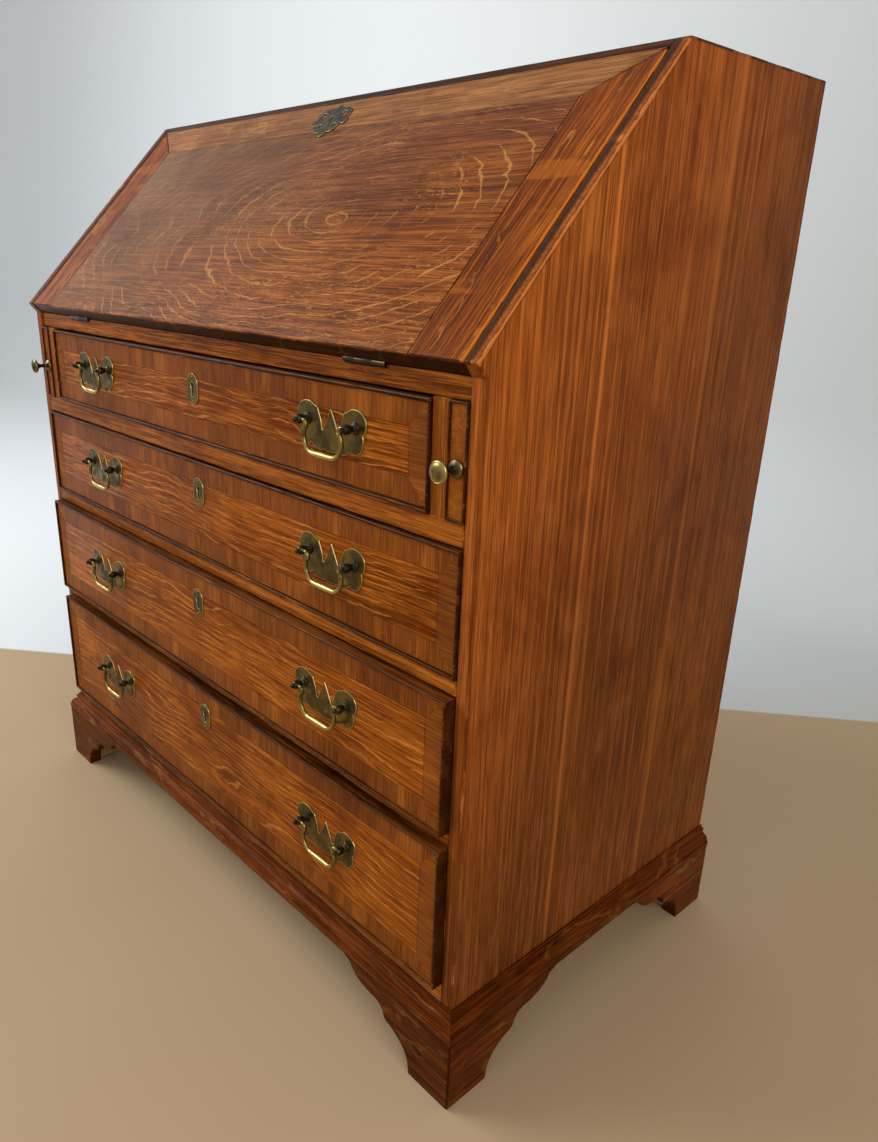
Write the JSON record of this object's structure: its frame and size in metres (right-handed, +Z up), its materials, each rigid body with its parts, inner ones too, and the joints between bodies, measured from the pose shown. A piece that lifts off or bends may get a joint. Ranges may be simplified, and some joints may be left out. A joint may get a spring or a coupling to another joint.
{
  "type": "slant-front secretary desk",
  "caption": "Slant-front secretary desk: case with graduated long drawers, swing bail handles, sliding lopers, hinged writing fall, fitted nest and bracket feet.",
  "frame": {"origin": "On the floor, at the middle of the overall width and depth", "axes": "+X to the right of someone facing the drawers, +Y to the back, +Z up"},
  "size_m": [0.968, 0.5338, 1.05],
  "materials": {
    "oak_case": "old waxed oak, reddish brown, satin",
    "oak_figured": "quarter-sawn oak with ray flecks, waxed and worn",
    "oak_rail": "plain oak, orange brown, waxed",
    "oak_bead": "dark waxed oak bead, rubbed light on the nose",
    "pine_lining": "dry unpolished pine, aged",
    "aged_brass": "old brass, olive in the hollows and bright where hands rub",
    "dark_brass": "small turned knob, dark with age"
  },
  "bodies": {
    "carcass": {"side_left": "oak_case", "side_right": "oak_case", "top_board": "oak_case", "back_boards": "pine_lining", "writing_board": "oak_rail", "drawer_rails": "oak_rail", "loper_partitions": "oak_rail", "dust_boards": "pine_lining", "drawer_runners": "pine_lining", "bottom_board": "pine_lining", "base_frame": "pine_lining", "base_moulding": "oak_case", "foot_front_left": "oak_case", "foot_front_right": "oak_case", "foot_rear_left": "oak_case", "foot_rear_right": "oak_case", "case_hinge_leaves": "aged_brass", "hinge_pins": "aged_brass", "nest_case": "oak_rail", "nest_valances": "oak_rail"},
    "fall": {"fall_panel": "oak_figured", "fall_cleats": "oak_figured", "fall_top_band": "oak_figured", "fall_lock": "aged_brass", "fall_hinge_leaves": "aged_brass"},
    "loper_left": {"loper_left": "oak_rail", "loper_knob_left": "dark_brass"},
    "loper_right": {"loper_right": "oak_rail", "loper_knob_right": "dark_brass"},
    "drawer_1": {"drawer_1_front": "oak_figured", "drawer_1_bead": "oak_bead", "drawer_1_box": "pine_lining", "drawer_1_mounts": "aged_brass", "drawer_1_lock": "aged_brass"},
    "bail_1_left": {"drawer_1_bail_left": "aged_brass"},
    "bail_1_right": {"drawer_1_bail_right": "aged_brass"},
    "drawer_2": {"drawer_2_front": "oak_figured", "drawer_2_bead": "oak_bead", "drawer_2_box": "pine_lining", "drawer_2_mounts": "aged_brass", "drawer_2_lock": "aged_brass"},
    "bail_2_left": {"drawer_2_bail_left": "aged_brass"},
    "bail_2_right": {"drawer_2_bail_right": "aged_brass"},
    "drawer_3": {"drawer_3_front": "oak_figured", "drawer_3_bead": "oak_bead", "drawer_3_box": "pine_lining", "drawer_3_mounts": "aged_brass", "drawer_3_lock": "aged_brass"},
    "bail_3_left": {"drawer_3_bail_left": "aged_brass"},
    "bail_3_right": {"drawer_3_bail_right": "aged_brass"},
    "drawer_4": {"drawer_4_front": "oak_figured", "drawer_4_bead": "oak_bead", "drawer_4_box": "pine_lining", "drawer_4_mounts": "aged_brass", "drawer_4_lock": "aged_brass"},
    "bail_4_left": {"drawer_4_bail_left": "aged_brass"},
    "bail_4_right": {"drawer_4_bail_right": "aged_brass"},
    "nest_drawer_left": {"nest_drawer_left": "oak_rail"},
    "nest_drawer_centre": {"nest_drawer_centre": "oak_rail"},
    "nest_drawer_right": {"nest_drawer_right": "oak_rail"}
  },
  "joints": [
    {"name": "fall_hinge", "type": "hinge", "parent": "carcass", "child": "fall", "pos_m": [0, -0.2341, 0.775], "axis": [1, 0, 0], "range_deg": [0, 133.5]},
    {"name": "loper_left_slide", "type": "slide", "parent": "carcass", "child": "loper_left", "axis": [0, -1, 0], "range_m": [0, 0.29]},
    {"name": "loper_right_slide", "type": "slide", "parent": "carcass", "child": "loper_right", "axis": [0, -1, 0], "range_m": [0, 0.29]},
    {"name": "drawer_1_slide", "type": "slide", "parent": "carcass", "child": "drawer_1", "axis": [0, -1, 0], "range_m": [0, 0.33]},
    {"name": "bail_1_left_swing", "type": "hinge", "parent": "drawer_1", "child": "bail_1_left", "pos_m": [-0.268, -0.2491, 0.712], "axis": [-1, 0, 0], "range_deg": [0, 90]},
    {"name": "bail_1_right_swing", "type": "hinge", "parent": "drawer_1", "child": "bail_1_right", "pos_m": [0.268, -0.2491, 0.712], "axis": [-1, 0, 0], "range_deg": [0, 90]},
    {"name": "drawer_2_slide", "type": "slide", "parent": "carcass", "child": "drawer_2", "axis": [0, -1, 0], "range_m": [0, 0.33]},
    {"name": "bail_2_left_swing", "type": "hinge", "parent": "drawer_2", "child": "bail_2_left", "pos_m": [-0.268, -0.2491, 0.5735], "axis": [-1, 0, 0], "range_deg": [0, 90]},
    {"name": "bail_2_right_swing", "type": "hinge", "parent": "drawer_2", "child": "bail_2_right", "pos_m": [0.268, -0.2491, 0.5735], "axis": [-1, 0, 0], "range_deg": [0, 90]},
    {"name": "drawer_3_slide", "type": "slide", "parent": "carcass", "child": "drawer_3", "axis": [0, -1, 0], "range_m": [-0.01, 0.32]},
    {"name": "bail_3_left_swing", "type": "hinge", "parent": "drawer_3", "child": "bail_3_left", "pos_m": [-0.268, -0.2591, 0.418], "axis": [-1, 0, 0], "range_deg": [0, 90]},
    {"name": "bail_3_right_swing", "type": "hinge", "parent": "drawer_3", "child": "bail_3_right", "pos_m": [0.268, -0.2591, 0.418], "axis": [-1, 0, 0], "range_deg": [0, 90]},
    {"name": "drawer_4_slide", "type": "slide", "parent": "carcass", "child": "drawer_4", "axis": [0, -1, 0], "range_m": [-0.01, 0.32]},
    {"name": "bail_4_left_swing", "type": "hinge", "parent": "drawer_4", "child": "bail_4_left", "pos_m": [-0.268, -0.2591, 0.2385], "axis": [-1, 0, 0], "range_deg": [0, 90]},
    {"name": "bail_4_right_swing", "type": "hinge", "parent": "drawer_4", "child": "bail_4_right", "pos_m": [0.268, -0.2591, 0.2385], "axis": [-1, 0, 0], "range_deg": [0, 90]},
    {"name": "nest_drawer_left_slide", "type": "slide", "parent": "carcass", "child": "nest_drawer_left", "axis": [0, -1, 0], "range_m": [0, 0.15]},
    {"name": "nest_drawer_centre_slide", "type": "slide", "parent": "carcass", "child": "nest_drawer_centre", "axis": [0, -1, 0], "range_m": [0, 0.15]},
    {"name": "nest_drawer_right_slide", "type": "slide", "parent": "carcass", "child": "nest_drawer_right", "axis": [0, -1, 0], "range_m": [0, 0.15]}
  ]
}
